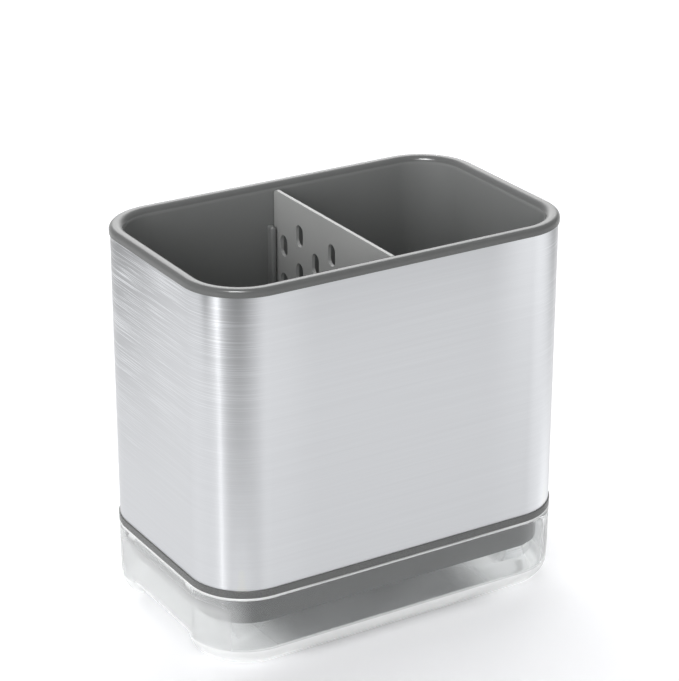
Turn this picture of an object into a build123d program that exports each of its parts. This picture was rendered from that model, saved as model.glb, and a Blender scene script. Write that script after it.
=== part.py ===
from build123d import *
import os
from math import degrees, radians, tan

# Kitchen sink caddy: a steel-wrapped liner with a lift-out divider, standing in a clear drip tray.
# Millimetres, +Z up. The origin is on the counter under the middle of the tray.
# X runs along the width and Y along the depth. The front faces -Y.

# Steel sleeve: the outer face that every other outline is inset from
sleeve_width = 155.0
sleeve_depth = 96.9
sleeve_corner_radius = 22.5
sleeve_height = 114.1
sleeve_thickness = 0.5
seam_gap = 0.3

# Drip tray
tray_height = 30.0
tray_wall = 2.0
tray_floor = 2.0
tray_draft = 0.8
tray_bottom_round = 8.5
tray_inner_chamfer = 5.0
tray_lip_chamfer = 0.5
grip_height = 6.5
grip_depth = 17.0
grip_half_length = 24.0
grip_depth_ramp = 4.5
grip_length_ramp = 3.0
grip_edge_round = 5.0
nub_length = 6.6
nub_height = 1.9
nub_reach = 2.2
nub_drop = 1.2
nub_spacing = 46.0

# Soft arc-shaped pads in grooves under the tray's corners
pad_stand = 0.6
pad_groove_depth = 0.6
pad_width = 3.0
pad_arc_radius = 12.2
pad_arc_start = 10.0
pad_arc_span = 70.0

# Rim and band overhang the sleeve by the same amount
overhang = 0.45
rim_height = 2.9
rim_outer_bevel = 1.3
rim_bevel_easing = 0.45
rim_inner_chamfer = 0.9
rim_land = 5.95
rim_tab_height = 4.0
rim_tab_wall = 1.3
rim_tab_width = 18.0

# Liner: drafted walls, drain floor, drip edge below the floor
liner_wall = 2.2
liner_draft = 0.48
liner_floor = 2.2
liner_floor_chamfer = 3.0
liner_foot_chamfer = 1.0
drip_edge = 1.6
foot_depth = 12.4
drain_slot_length = 18.0
drain_slot_width = 4.0
drain_pitch_x = 27.0
drain_pitch_y = 12.5
drain_columns = 2
drain_rows = 6

# Base ring: band under the sleeve, collar inside it, snap windows
band_height = 3.1
band_chamfer = 0.5
collar_height = 13.0
collar_wall = 1.6
window_width = 10.0
window_height = 3.8
window_raise = 5.0
snap_reach = 0.9
snap_catch = 0.8
snap_spacing = 84.0

# Divider and the guide ribs that hold its edges
divider_offset = -1.2
divider_thickness = 1.4
divider_drop = 1.8
divider_corner_round = 2.0
rib_width = 2.3
rib_reach = 3.2
rib_top_round = 1.0
rib_drop = 16.0
slot_length = 8.6
slot_width = 5.2
slot_corner_chamfer = 1.5
slot_pitch_y = 11.75
slot_pitch_z = 15.4
slot_columns = 7
slot_rows = 8
first_slot_drop = 8.9

# Clearances
seat_gap = 0.1
collar_fit = 0.1
ring_fit = 0.25
snap_fit = 0.2
divider_fit = 0.3
channel_fit = 0.5
pad_fit = 0.05
root_overlap = 0.6
overrun = 1.0
level_tolerance = 0.01

# Levels, worked up from the counter
tray_bottom = pad_stand
tray_top = tray_bottom + tray_height
band_bottom = tray_top + seat_gap
band_top = band_bottom + band_height
rim_bottom = band_top + sleeve_height
rim_top = rim_bottom + rim_height
liner_bottom = band_bottom - foot_depth
liner_floor_bottom = liner_bottom + drip_edge
liner_floor_top = liner_floor_bottom + liner_floor
divider_top = rim_top - divider_drop
rib_top = rim_top - rib_drop

# Insets from the sleeve's outer face
liner_inner_inset = rim_land - overhang
liner_outer_inset = liner_inner_inset - liner_wall
collar_outer_inset = sleeve_thickness + collar_fit
collar_inner_inset = collar_outer_inset + collar_wall
tray_inner_inset = tray_wall - overhang


def outline(inset, level):
    """Round-cornered outline parallel to the sleeve, on a level."""
    width = sleeve_width - 2 * inset
    depth = sleeve_depth - 2 * inset
    return Pos(0, 0, level) * RectangleRounded(width, depth, sleeve_corner_radius - inset)


def block(inset, low, high, draft=0.0):
    """Round-cornered block whose inset holds at its top; the draft narrows it downwards."""
    return extrude(outline(inset, high), amount=high - low, dir=(0, 0, -1), taper=draft)


def liner_block(inset, low, high):
    """Block with the liner's draft, cut from one long taper so that every level lines up."""
    taper = block(inset, liner_bottom - overrun, rim_top, liner_draft)
    band = Pos(0, 0, (low + high) / 2) * Box(2 * sleeve_width, 2 * sleeve_depth, high - low)
    return taper & band


def liner_outer_reach(level, half_size):
    """Distance from the middle to the liner's outer face, at a level."""
    return half_size - liner_outer_inset - (rim_top - level) * tan(radians(liner_draft))


def level_edges(part, level):
    """Edges that lie flat on one level."""
    return [e for e in part.edges() if abs(e.bounding_box().min.Z - level) < level_tolerance
            and abs(e.bounding_box().max.Z - level) < level_tolerance]


def save(part, node):
    """Write one sub-part under its node's name."""
    part.label = node
    export_step(part, os.path.join("parts", node + ".step"))


def make_sleeve():
    """Thin sheet bent into a round-cornered tube, butted at the back with a hairline joint."""
    outer = block(0, band_top, rim_bottom)
    inner = block(sleeve_thickness, band_top, rim_bottom)
    seam_depth = sleeve_thickness + overrun
    joint = Box(seam_gap, 2 * seam_depth, sleeve_height + 2 * overrun)
    joint = Pos(0, sleeve_depth / 2, (band_top + rim_bottom) / 2) * joint
    return outer - inner - joint


def grip_recess(lift):
    """Raised finger recess under one short side, offset upwards and outwards by a thickness."""
    half = sleeve_width / 2 + overhang
    inner_low = half - grip_depth - lift
    inner_high = inner_low + grip_depth_ramp
    top = tray_bottom + grip_height + lift
    edge_start = half - lift - grip_edge_round
    crest = top + grip_edge_round
    ramp_slope = (inner_high - inner_low) / (grip_height + lift)
    foot_level = tray_bottom - overrun
    profile = Plane.XZ * make_face(
        Polyline((half + overrun, crest), (half + overrun, foot_level),
                 (inner_low - overrun * ramp_slope, foot_level), (inner_high, top), (edge_start, top))
        + RadiusArc((edge_start, top), (half - lift, crest), -grip_edge_round)
        + Line((half - lift, crest), (half + overrun, crest)))
    along = extrude(profile, amount=grip_half_length + lift + overrun, both=True)
    length_slope = grip_length_ramp / grip_height
    low_half = grip_half_length + lift + overrun * length_slope
    high_half = grip_half_length + lift - (crest - tray_bottom) * length_slope
    foot_points = [(-low_half, foot_level), (low_half, foot_level)]
    crest_points = [(high_half, crest), (-high_half, crest)]
    arch = Plane.YZ * make_face(Polyline(foot_points + crest_points, close=True))
    across = Pos(half / 2, 0, 0) * extrude(arch, amount=half, both=True)
    return along & across


def make_tray():
    """Open tub with large bottom rounds, finger recesses, locating nubs and grooves for the pads."""
    shell = block(-overhang, tray_bottom, tray_top, tray_draft)
    shell = fillet(level_edges(shell, tray_bottom), tray_bottom_round)
    hollow = block(tray_inner_inset, tray_bottom + tray_floor, tray_top, tray_draft)
    hollow = chamfer(level_edges(hollow, tray_bottom + tray_floor), tray_inner_chamfer)
    for turn in (0, 180):
        side = Rot(0, 0, turn)
        shell -= side * grip_recess(0)
        hollow -= side * grip_recess(tray_floor)
    tray = shell - hollow
    tray = chamfer(level_edges(tray, tray_top), tray_lip_chamfer)
    nub_middle = sleeve_width / 2 - tray_inner_inset + (root_overlap - nub_reach) / 2
    nub_top = tray_top - nub_drop
    for turn in (0, 180):
        for side in (-1, 1):
            nub = Box(nub_reach + root_overlap, nub_length, nub_height)
            nub = Pos(nub_middle, side * nub_spacing / 2, nub_top - nub_height / 2) * nub
            tray += Rot(0, 0, turn) * nub
    for groove in pad_outlines(pad_fit):
        tray -= extrude(Pos(0, 0, tray_bottom) * groove, amount=pad_groove_depth)
    return tray


def pad_outlines(clearance):
    """Four arc-shaped outlines, concentric with the corners, with a clearance all round."""
    centre_x = sleeve_width / 2 - sleeve_corner_radius
    centre_y = sleeve_depth / 2 - sleeve_corner_radius
    extra_turn = degrees(clearance / pad_arc_radius)
    start = pad_arc_start - extra_turn
    span = pad_arc_span + 2 * extra_turn
    outer = CenterArc((0, 0), pad_arc_radius + pad_width / 2 + clearance, start, span)
    inner = CenterArc((0, 0), pad_arc_radius - pad_width / 2 - clearance, start, span)
    shape = make_face(outer + inner + Line(outer @ 0, inner @ 0) + Line(outer @ 1, inner @ 1))
    first = Pos(centre_x, centre_y, 0) * shape
    across = first.mirror(Plane.YZ)
    return [first, across, first.mirror(Plane.XZ), across.mirror(Plane.XZ)]


def make_pads():
    """Four soft pads standing proud of the tray's underside."""
    pads = [extrude(shape, amount=pad_stand + pad_groove_depth) for shape in pad_outlines(0)]
    return Compound(children=[Part(pad.wrapped) for pad in pads])


def snap_places():
    """Angle about Z, sideways place and half size for each snap: two on a long side, one on a short side."""
    long_side = [(turn, side * snap_spacing / 2, sleeve_depth / 2) for turn in (0, 180) for side in (-1, 1)]
    short_side = [(turn, 0, sleeve_width / 2) for turn in (90, 270)]
    return long_side + short_side


def make_ring():
    """Band that carries the sleeve, with a collar inside the sleeve and windows for the snaps."""
    band = block(-overhang, band_bottom, band_top)
    band = chamfer(level_edges(band, band_bottom), band_chamfer)
    collar = block(collar_outer_inset, band_top, band_top + collar_height)
    collar -= block(collar_inner_inset, band_top, band_top + collar_height)
    hole_inset = liner_outer_inset + (rim_top - band_top) * tan(radians(liner_draft)) - ring_fit
    band -= block(hole_inset, band_bottom - overrun, band_top + overrun)
    ring = band + collar
    window_middle = band_top + window_raise + window_height / 2
    for turn, sideways, half_size in snap_places():
        depth = 2 * (collar_wall + collar_fit)
        middle = half_size - collar_outer_inset - collar_wall / 2
        window = Pos(sideways, middle, window_middle) * Box(window_width, depth, window_height)
        ring -= Rot(0, 0, turn) * window
    return ring


def snap_lug(sideways, half_size):
    """Wedge on the liner's outer wall: sloped below for assembly, flat above for the catch."""
    low = band_top + window_raise + snap_fit
    high = low + window_height - 2 * snap_fit
    root = liner_outer_reach(low, half_size) - root_overlap
    tip = half_size - collar_inner_inset + snap_reach
    wedge = Plane.YZ * make_face(Polyline(
        (root, low), (tip, high - snap_catch), (tip, high), (root, high), close=True))
    half_width = window_width / 2 - snap_fit
    return Pos(sideways, 0, 0) * extrude(wedge, amount=half_width, both=True)


def locating_tab(sideways, half_size):
    """Short tab under the rim that holds the sleeve's upper edge in place."""
    height = rim_tab_height + root_overlap
    middle = half_size - collar_outer_inset - rim_tab_wall / 2
    tab = Box(rim_tab_width, rim_tab_wall, height)
    return Pos(sideways, middle, rim_bottom + root_overlap - height / 2) * tab


def guide_rib(side):
    """One rib on each long wall, beside the divider: follows the wall's draft, with a rounded top."""
    height = rib_top - liner_floor_top + root_overlap
    bar = Box(rib_width, 2 * sleeve_depth, height)
    bar = fillet(bar.edges().filter_by(Axis.Y).group_by(Axis.Z)[-1], rib_top_round)
    offset = divider_thickness / 2 + channel_fit + rib_width / 2
    bar = Pos(divider_offset + side * offset, 0, rib_top - height / 2) * bar
    walls = liner_block(liner_inner_inset - root_overlap, liner_floor_top - root_overlap, rib_top)
    walls -= liner_block(liner_inner_inset + rib_reach, liner_floor_top - overrun, rib_top + overrun)
    return walls & bar


def drain_slots():
    """Staggered square-ended drain slots in both bays of the floor."""
    slot = Rectangle(drain_slot_length, drain_slot_width)
    bay_middle = (sleeve_width / 2 - liner_inner_inset) / 2
    spots = []
    for bay in (-1, 1):
        for row in range(drain_rows):
            stagger = drain_pitch_x / 4 * (1 if row % 2 else -1)
            for column in range(drain_columns):
                x = bay * bay_middle + (column - (drain_columns - 1) / 2) * drain_pitch_x + stagger
                y = (row - (drain_rows - 1) / 2) * drain_pitch_y
                spots.append(Pos(x, y, liner_floor_bottom - overrun) * slot)
    return extrude(Sketch() + spots, amount=liner_floor + 2 * overrun)


def inner_rim_edges(liner):
    """Edges of the mouth on the rim's top face, inside the middle of the land."""
    far_x = (sleeve_width - liner_inner_inset) / 2
    far_y = (sleeve_depth - liner_inner_inset) / 2
    edges = []
    for edge in level_edges(liner, rim_top):
        box = edge.bounding_box()
        if max(box.max.X, -box.min.X) < far_x and max(box.max.Y, -box.min.Y) < far_y:
            edges.append(edge)
    return edges


def make_liner():
    """Deep drafted tub with a capping rim, guide ribs, snap lugs, drain floor and drip edge."""
    rim = block(-overhang, rim_bottom, rim_top)
    rim = chamfer(level_edges(rim, rim_top), rim_outer_bevel)
    for level in (rim_top, rim_top - rim_outer_bevel):
        rim = chamfer(level_edges(rim, level), rim_bevel_easing)
    walls = liner_block(liner_outer_inset, liner_bottom, rim_bottom + root_overlap)
    walls = chamfer(level_edges(walls, liner_bottom), liner_foot_chamfer)
    cavity = liner_block(liner_inner_inset, liner_floor_top, rim_top)
    cavity = chamfer(level_edges(cavity, liner_floor_top), liner_floor_chamfer)
    foot_inset = liner_inner_inset + (rim_top - liner_bottom) * tan(radians(liner_draft))
    below = block(foot_inset, liner_bottom - overrun, liner_floor_bottom)
    liner = rim + walls - cavity - below
    liner = chamfer(inner_rim_edges(liner), rim_inner_chamfer)
    for side in (-1, 1):
        liner += guide_rib(side)
    for turn, sideways, half_size in snap_places():
        liner += Rot(0, 0, turn) * snap_lug(sideways, half_size)
        liner += Rot(0, 0, turn) * locating_tab(sideways, half_size)
    return liner - drain_slots()


def make_divider():
    """Thin perforated panel whose edges follow the drafted walls, with staggered upright slots."""
    panel = liner_block(liner_inner_inset + divider_fit, liner_floor_top + seat_gap, divider_top)
    slab = Box(divider_thickness, 2 * sleeve_depth, 2 * rim_top)
    panel &= slab
    corners = panel.edges().filter_by(Axis.X).group_by(Axis.Z)
    panel = fillet(corners[-1], divider_corner_round)
    panel = chamfer(panel.edges().filter_by(Axis.X).group_by(Axis.Z)[0], liner_floor_chamfer)
    slot = Rectangle(slot_width, slot_length)
    slot = Plane.YZ * chamfer(slot.vertices(), slot_corner_chamfer)
    holes = []
    for column in range(slot_columns):
        across = column - (slot_columns - 1) // 2
        stagger = slot_pitch_z / 2 if across % 2 else 0
        for row in range(slot_rows):
            drop = first_slot_drop + slot_length / 2 + row * slot_pitch_z + stagger
            if divider_top - drop > liner_floor_top + slot_length:
                holes.append(Pos(0, across * slot_pitch_y, divider_top - drop) * slot)
    panel -= extrude(Sketch() + holes, amount=divider_thickness, both=True)
    return Pos(divider_offset, 0, 0) * panel


save(make_tray(), "drip_tray")
save(make_pads(), "tray_feet")
save(make_ring(), "base_ring")
save(make_liner(), "liner_tub")
save(make_sleeve(), "steel_sleeve")
save(make_divider(), "divider_panel")
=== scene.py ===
import math

import bmesh
import bpy
import numpy as np
from bpy.props import FloatProperty, FloatVectorProperty, IntProperty, PointerProperty
from mathutils import Matrix, Vector


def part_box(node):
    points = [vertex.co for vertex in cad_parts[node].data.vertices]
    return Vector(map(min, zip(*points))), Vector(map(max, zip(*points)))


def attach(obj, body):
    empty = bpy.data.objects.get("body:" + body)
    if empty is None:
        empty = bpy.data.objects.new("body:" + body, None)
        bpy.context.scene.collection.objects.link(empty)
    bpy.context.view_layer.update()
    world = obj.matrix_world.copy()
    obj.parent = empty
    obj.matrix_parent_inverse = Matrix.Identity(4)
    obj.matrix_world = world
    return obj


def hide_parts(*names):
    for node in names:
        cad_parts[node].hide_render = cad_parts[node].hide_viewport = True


bl_info = {
    "name": "Sink Caddy",
    "version": (1, 0, 0),
    "blender": (4, 5, 0),
    "location": "3D View > Sidebar > Caddy",
    "description": "Dresses a steel-wrapped sink caddy: sleeve, liner, base ring, divider, tray and pads",
    "category": "Add Mesh",
}

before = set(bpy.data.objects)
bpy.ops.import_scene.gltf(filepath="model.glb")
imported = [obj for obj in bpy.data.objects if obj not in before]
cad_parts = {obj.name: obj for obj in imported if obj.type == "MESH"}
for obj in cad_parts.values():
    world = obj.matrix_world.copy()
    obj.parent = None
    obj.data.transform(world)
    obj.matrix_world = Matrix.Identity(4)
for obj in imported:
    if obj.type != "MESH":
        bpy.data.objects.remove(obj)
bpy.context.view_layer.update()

MM = 0.001

# The photograph's size, and the place in it that the camera's target falls on, in pixels
photo_width = 679
photo_height = 681
photo_centre_x = 338.969
photo_centre_y = 345.050

sleeve_low, sleeve_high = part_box("steel_sleeve")
liner_low, liner_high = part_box("liner_tub")
ring_low, ring_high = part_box("base_ring")
tray_low, tray_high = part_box("drip_tray")
divider_low, divider_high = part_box("divider_panel")


# Sizes and colours

def length(name, description, size):
    """A length property, given in millimetres and kept in metres."""
    return FloatProperty(name=name, description=description, default=size * MM, min=0.0, precision=5,
                         unit="LENGTH")


def angle(name, description, default):
    """An angle property, given in degrees and kept in radians."""
    return FloatProperty(name=name, description=description, default=math.radians(default), unit="ROTATION")


def share(name, description, default):
    """A plain number from nought to one."""
    return FloatProperty(name=name, description=description, default=default, min=0.0, max=1.0,
                         subtype="FACTOR")


def count(name, description, default):
    """A whole number property of one or more."""
    return IntProperty(name=name, description=description, default=default, min=1)


def colour(name, description, default):
    """A linear colour property."""
    return FloatVectorProperty(name=name, description=description, default=default, size=3, min=0.0, max=1.0,
                               subtype="COLOR")


class CaddyOutlineSettings(bpy.types.PropertyGroup):
    corner_radius: length("Corner Radius", "Radius of the sleeve's outer corners in plan", 22.5)
    corner_steps: count("Corner Steps", "Divisions of each quarter turn in plan", 40)
    draft: angle("Draft", "Taper of the liner's walls", 0.48)


class SteelSleeveSettings(bpy.types.PropertyGroup):
    thickness: length("Thickness", "Thickness of the rolled sheet", 0.5)
    seam_gap: length("Seam Gap", "Width of the joint at the back", 0.3)
    steel: colour("Steel", "Colour of the brushed steel", (0.715, 0.728, 0.752))
    grain_length: length("Grain Length", "Length of a brush streak", 55)
    grain_width: length("Grain Width", "Spacing of the brush streaks", 0.35)
    roughness: share("Roughness", "Mean roughness of the brushed face", 0.3)


class LinerSettings(bpy.types.PropertyGroup):
    wall: length("Wall", "Wall thickness", 2.2)
    land: length("Land", "Width of the rim's top face from its outer edge to the inner wall", 5.95)
    rim_height: length("Rim Height", "Height of the rim's outer face", 2.9)
    outer_round: length("Outer Round", "Rounding of the rim's outer edge", 1.8)
    inner_round: length("Inner Round", "Rounding of the rim's inner edge", 3.0)
    floor: length("Floor", "Thickness of the drain floor", 2.2)
    floor_round: length("Floor Round", "Rounding between the walls and the floor", 3.0)
    drip_edge: length("Drip Edge", "Height of the lip under the floor", 1.6)
    foot_round: length("Foot Round", "Rounding of the wall's lower outer edge", 0.6)
    rib_width: length("Rib Width", "Width of a guide rib", 2.3)
    rib_reach: length("Rib Reach", "How far a guide rib stands off the wall", 3.2)
    rib_drop: length("Rib Drop", "Depth of a guide rib's top below the rim", 16.0)
    channel_fit: length("Channel Fit", "Gap between a guide rib and the divider", 0.5)
    slot_length: length("Slot Length", "Length of a drain slot", 18.0)
    slot_width: length("Slot Width", "Width of a drain slot", 4.0)
    slot_pitch_x: length("Slot Pitch X", "Spacing of the drain slots along a row", 27.0)
    slot_pitch_y: length("Slot Pitch Y", "Spacing of the rows of drain slots", 12.5)
    slot_columns: count("Slot Columns", "Drain slots of a row in each bay", 2)
    slot_rows: count("Slot Rows", "Rows of drain slots", 6)
    plastic: colour("Plastic", "Colour of the liner and base ring", (0.130, 0.133, 0.132))


class BaseRingSettings(bpy.types.PropertyGroup):
    band: length("Band", "Height of the visible band", 3.1)
    edge_round: length("Edge Round", "Rounding of the band's lower edge", 0.5)
    top_round: length("Top Round", "Rounding of the band's upper edge", 0.2)
    liner_fit: length("Liner Fit", "Gap between the ring and the liner", 0.25)
    collar_wall: length("Collar Wall", "Thickness of the collar inside the sleeve", 1.6)
    collar_fit: length("Collar Fit", "Gap between the collar and the sheet", 0.1)
    window_width: length("Window Width", "Width of a snap window", 10.0)
    window_height: length("Window Height", "Height of a snap window", 3.8)
    window_raise: length("Window Raise", "Height of a snap window above the band", 5.0)
    window_spacing: length("Window Spacing", "Distance between the two windows of a long side", 84.0)


class DividerSettings(bpy.types.PropertyGroup):
    offset: length("Offset", "How far the divider stands to the left of the middle", 1.2)
    thickness: length("Thickness", "Thickness of the panel", 1.4)
    corner_round: length("Corner Round", "Rounding of the top corners", 2.0)
    edge_round: length("Edge Round", "Rounding of the panel's edges", 0.3)
    foot_corner: length("Foot Corner", "Size of the cut corners at the foot", 3.0)
    slot_length: length("Slot Length", "Height of a slot", 8.6)
    slot_width: length("Slot Width", "Width of a slot", 5.2)
    pitch_y: length("Pitch Y", "Spacing of the columns of slots", 11.75)
    pitch_z: length("Pitch Z", "Spacing of the slots in a column", 15.4)
    first_drop: length("First Drop", "Depth of the highest slots below the top edge", 8.9)
    columns: count("Columns", "Columns of slots", 7)
    rows: count("Rows", "Slots in a column at most", 8)
    plastic: colour("Plastic", "Colour of the divider", (0.41, 0.415, 0.41))


class DripTraySettings(bpy.types.PropertyGroup):
    wall: length("Wall", "Thickness of the wall and floor", 2.0)
    draft: angle("Draft", "Taper of the tray's wall", 0.8)
    bottom_round: length("Bottom Round", "Outer rounding at the foot of the wall", 8.5)
    lip_round: length("Lip Round", "Rounding of the top edge", 0.6)
    grip_height: length("Grip Height", "Height of the finger recesses", 6.5)
    grip_depth: length("Grip Depth", "Depth of the finger recesses in plan", 17.0)
    grip_half_length: length("Grip Half Length", "Half the length of a finger recess", 24.0)
    grip_depth_ramp: length("Grip Depth Ramp", "Width of the slope at a recess's inner edge", 4.5)
    grip_length_ramp: length("Grip Length Ramp", "Width of the slope at a recess's ends", 5.0)
    grip_edge_round: length("Grip Edge Round", "Rounding between the wall and a recess", 5.0)
    nub_length: length("Nub Length", "Length of a locating nub", 6.6)
    nub_height: length("Nub Height", "Height of a locating nub", 1.9)
    nub_reach: length("Nub Reach", "How far a nub stands off the wall", 2.2)
    nub_drop: length("Nub Drop", "Depth of a nub's top below the lip", 1.2)
    nub_spacing: length("Nub Spacing", "Distance between the two nubs of a short side", 46.0)
    nub_edge: length("Nub Edge", "Width of the soft edges of a nub", 0.35)
    clear: colour("Clear", "Tint of the clear plastic", (0.975, 0.985, 0.985))
    # The milk colour is mostly used for painted light on the tray; only the small haze share below is the
    # plastic's own milkiness
    milk: colour("Milk", "Colour of the milky scatter", (0.86, 0.87, 0.875))
    haze: share("Haze", "Share of milky scatter in the wall", 0.015)
    pad: colour("Pad", "Colour of the soft pads under the tray", (0.93, 0.94, 0.94))


class StageSettings(bpy.types.PropertyGroup):
    camera_turn: angle("Camera Turn", "Turn of the camera about the caddy from the front", -31.4415)
    camera_rise: angle("Camera Rise", "Height of the camera above the horizon", 23.1569)
    camera_roll: angle("Camera Roll", "Roll of the camera", 0.0983)
    camera_distance: length("Camera Distance", "Distance from the camera to its target", 929.394)
    target_height: length("Target Height", "Height of the camera's target", 99.161)
    target_side: length("Target Side", "Sideways place of the camera's target", 1.24)
    lens: FloatProperty(name="Lens", description="Focal length in mm on a 36 mm sensor", default=130.05)
    floor_reach: length("Floor Reach", "Half the width of the floor", 2000.0)
    floor_colour: colour("Floor Colour", "Colour of the floor as the camera sees it", (0.945, 0.948, 0.965))


# Shapes

def rounded_path(reach_x, reach_y, corner_steps, along_x, along_y):
    """Path round a rectangle with round corners, as complex numbers in plan, anticlockwise from the +X side.

    Returns a base on the inner rectangle of half sizes reach_x and reach_y, and the unit normal there. The
    normal turns through each corner, so base + outset * normal is a parallel outline."""
    turn = np.linspace(0, math.pi / 2, corner_steps + 1)
    bases = []
    normals = []
    for quarter in range(4):
        reach, end, along = (reach_y, reach_x, along_x) if quarter % 2 else (reach_x, reach_y, along_y)
        base = np.concatenate([reach + 1j * along, np.full(len(turn), reach + 1j * end)])
        normal = np.concatenate([np.ones(len(along), complex), np.exp(1j * turn)])
        bases.append(base * 1j ** quarter)
        normals.append(normal * 1j ** quarter)
    return np.concatenate(bases), np.concatenate(normals)


def arc(centre_out, centre_up, radius, start, end, steps):
    """Profile points on a circle: centre + radius * (cos t, sin t), with t in degrees, as out + i * up."""
    return centre_out + 1j * centre_up + radius * np.exp(1j * np.radians(np.linspace(start, end, steps + 1)))


def carry(base, normal, outset, height, shrink=1.0):
    """Points of a profile carried round a path: base * shrink + normal * outset in plan, at a height."""
    plan, height = np.broadcast_arrays(base[:, None] * shrink + normal[:, None] * outset, height)
    return np.stack([plan.real, plan.imag, height], axis=-1)


def grid_corners(rows, columns, closed_rows=False, closed_columns=False):
    """Corner numbers, in four arrays, of a grid's cells, whose points are stored row by row.

    A closed grid joins its last row or column to its first."""
    index = np.arange(rows * columns).reshape(rows, columns)
    if closed_rows:
        index = np.concatenate([index, index[:1]])
    if closed_columns:
        index = np.concatenate([index, index[:, :1]], axis=1)
    return index[:-1, :-1], index[1:, :-1], index[1:, 1:], index[:-1, 1:]


def grid_faces(rows, columns, closed_rows=False, closed_columns=False):
    """A grid's cells as quads."""
    return np.stack(grid_corners(rows, columns, closed_rows, closed_columns), axis=-1).reshape(-1, 4)


def eased(rise):
    """A share from nought to one, made to start and end softly."""
    return rise ** 2 * (3 - 2 * rise)


def soft_step(distance, width):
    """A share that rises evenly from nought to one over a width, and is half at distance nought."""
    return np.clip(distance / width + 0.5, 0, 1)


def pierced_shell(outer, inner, keep, closed=False):
    """Closed solid between two grids of points, with the cells left out where keep is false.

    Each side of a kept cell that borders a missing cell or the grid's end gets a quad from the outer face to
    the inner one. A closed shell joins its last row to its first."""
    rows, columns = outer.shape[:2]
    a, b, c, d = grid_corners(rows, columns, closed)
    inside = rows * columns
    faces = [np.stack([a, b, c, d], -1)[keep], np.stack([d, c, b, a], -1)[keep] + inside]
    ringed = np.pad(keep, 1)
    if closed:
        ringed[0, 1:-1] = keep[-1]
        ringed[-1, 1:-1] = keep[0]
    below, beyond, above, before = ringed[1:-1, :-2], ringed[2:, 1:-1], ringed[1:-1, 2:], ringed[:-2, 1:-1]
    neighbours = [(below, a, b), (beyond, b, c), (above, c, d), (before, d, a)]
    for beside, first, second in neighbours:
        wall = np.stack([second, first, first + inside, second + inside], -1)
        faces.append(wall[keep & ~beside])
    points = np.concatenate([outer.reshape(-1, 3), inner.reshape(-1, 3)])
    return points, np.concatenate(faces)


def joined(parts):
    """One set of points and faces from several."""
    points = [np.asarray(part_points).reshape(-1, 3) for part_points, _ in parts]
    starts = np.cumsum([0] + [len(part_points) for part_points in points])
    faces = [part_faces + start for (_, part_faces), start in zip(parts, starts)]
    return np.concatenate(points), np.concatenate(faces)


def add_piece(name, points, faces, material, body, nodes, plan_length=None, sharp=35.0):
    """Makes a welded, smooth-shaded mesh object that stands for CAD nodes and rides on a body.

    plan_length holds each point's distance along the sheet, which with its height becomes the UV map."""
    weld_distance = 0.2e-6
    mesh = bpy.data.meshes.new(name)
    mesh.from_pydata(points, [], faces.tolist())
    if plan_length is not None:
        corner = np.zeros(len(mesh.loops), dtype=np.int32)
        mesh.loops.foreach_get("vertex_index", corner)
        layer = mesh.uv_layers.new(name="sheet")
        sheet = np.stack([plan_length[corner], points[corner, 2]], axis=1)
        layer.data.foreach_set("uv", sheet.astype(np.float32).ravel())
    weld = bmesh.new()
    weld.from_mesh(mesh)
    bmesh.ops.remove_doubles(weld, verts=weld.verts, dist=weld_distance)
    weld.to_mesh(mesh)
    weld.free()
    mesh.polygons.foreach_set("use_smooth", np.ones(len(mesh.polygons), dtype=bool))
    mesh.set_sharp_from_angle(angle=math.radians(sharp))
    mesh.materials.append(material)
    piece = bpy.data.objects.new(name, mesh)
    bpy.context.scene.collection.objects.link(piece)
    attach(piece, body)
    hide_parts(*nodes)
    return piece


def caddy_path(scene, along_x, along_y):
    """The sleeve's path: an outset equal to the corner radius is the sheet's outer face."""
    outline = scene.caddy_outline
    reach_x = sleeve_high.x - outline.corner_radius
    reach_y = sleeve_high.y - outline.corner_radius
    return rounded_path(reach_x, reach_y, outline.corner_steps, along_x, along_y)


def side_lines(scene, *edges):
    """Evenly spread places along a side, mirrored about its middle, with a place at each given edge."""
    reach = min(sleeve_high.x, sleeve_high.y) - scene.caddy_outline.corner_radius
    even = np.linspace(-reach, reach, 13)[1:-1]
    lines = np.concatenate([even, edges, np.negative(edges)])
    return np.unique(np.round(lines, 7))


def side_outset(scene, high):
    """How far out from the path's inner rectangle an outline runs that reaches a box's right side."""
    return scene.caddy_outline.corner_radius + high.x - sleeve_high.x


def wall_outset(scene, level):
    """How far out from the path's inner rectangle the liner's drafted inner wall stands, at a level."""
    drawn_in = (liner_high.z - level) * math.tan(scene.caddy_outline.draft)
    return side_outset(scene, liner_high) - scene.caddy_liner.land - drawn_in


# Materials

def arithmetic(operation, swapped=False):
    """A method of a signal that adds a Math node, whose first or, swapped, second input is the signal."""

    def method(self, other=0.0):
        first, second = (other, self) if swapped else (self, other)
        return self.board.node("ShaderNodeMath", {"operation": operation}, {0: first, 1: second})

    return method


class Signal:
    """A shader output with arithmetic: an expression on signals adds its Math nodes."""

    def __init__(self, board, socket):
        self.board = board
        self.socket = socket

    __add__ = arithmetic("ADD")
    __radd__ = arithmetic("ADD", swapped=True)
    __sub__ = arithmetic("SUBTRACT")
    __rsub__ = arithmetic("SUBTRACT", swapped=True)
    __mul__ = arithmetic("MULTIPLY")
    __rmul__ = arithmetic("MULTIPLY", swapped=True)
    __truediv__ = arithmetic("DIVIDE")
    __pow__ = arithmetic("POWER")
    size = arithmetic("ABSOLUTE")
    # The signal less the whole number at or below it
    wrapped = arithmetic("FRACT")
    # The direction of the point (other, signal), in radians from minus pi to pi
    bearing = arithmetic("ARCTAN2")
    above = arithmetic("MAXIMUM")
    below = arithmetic("MINIMUM")


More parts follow.
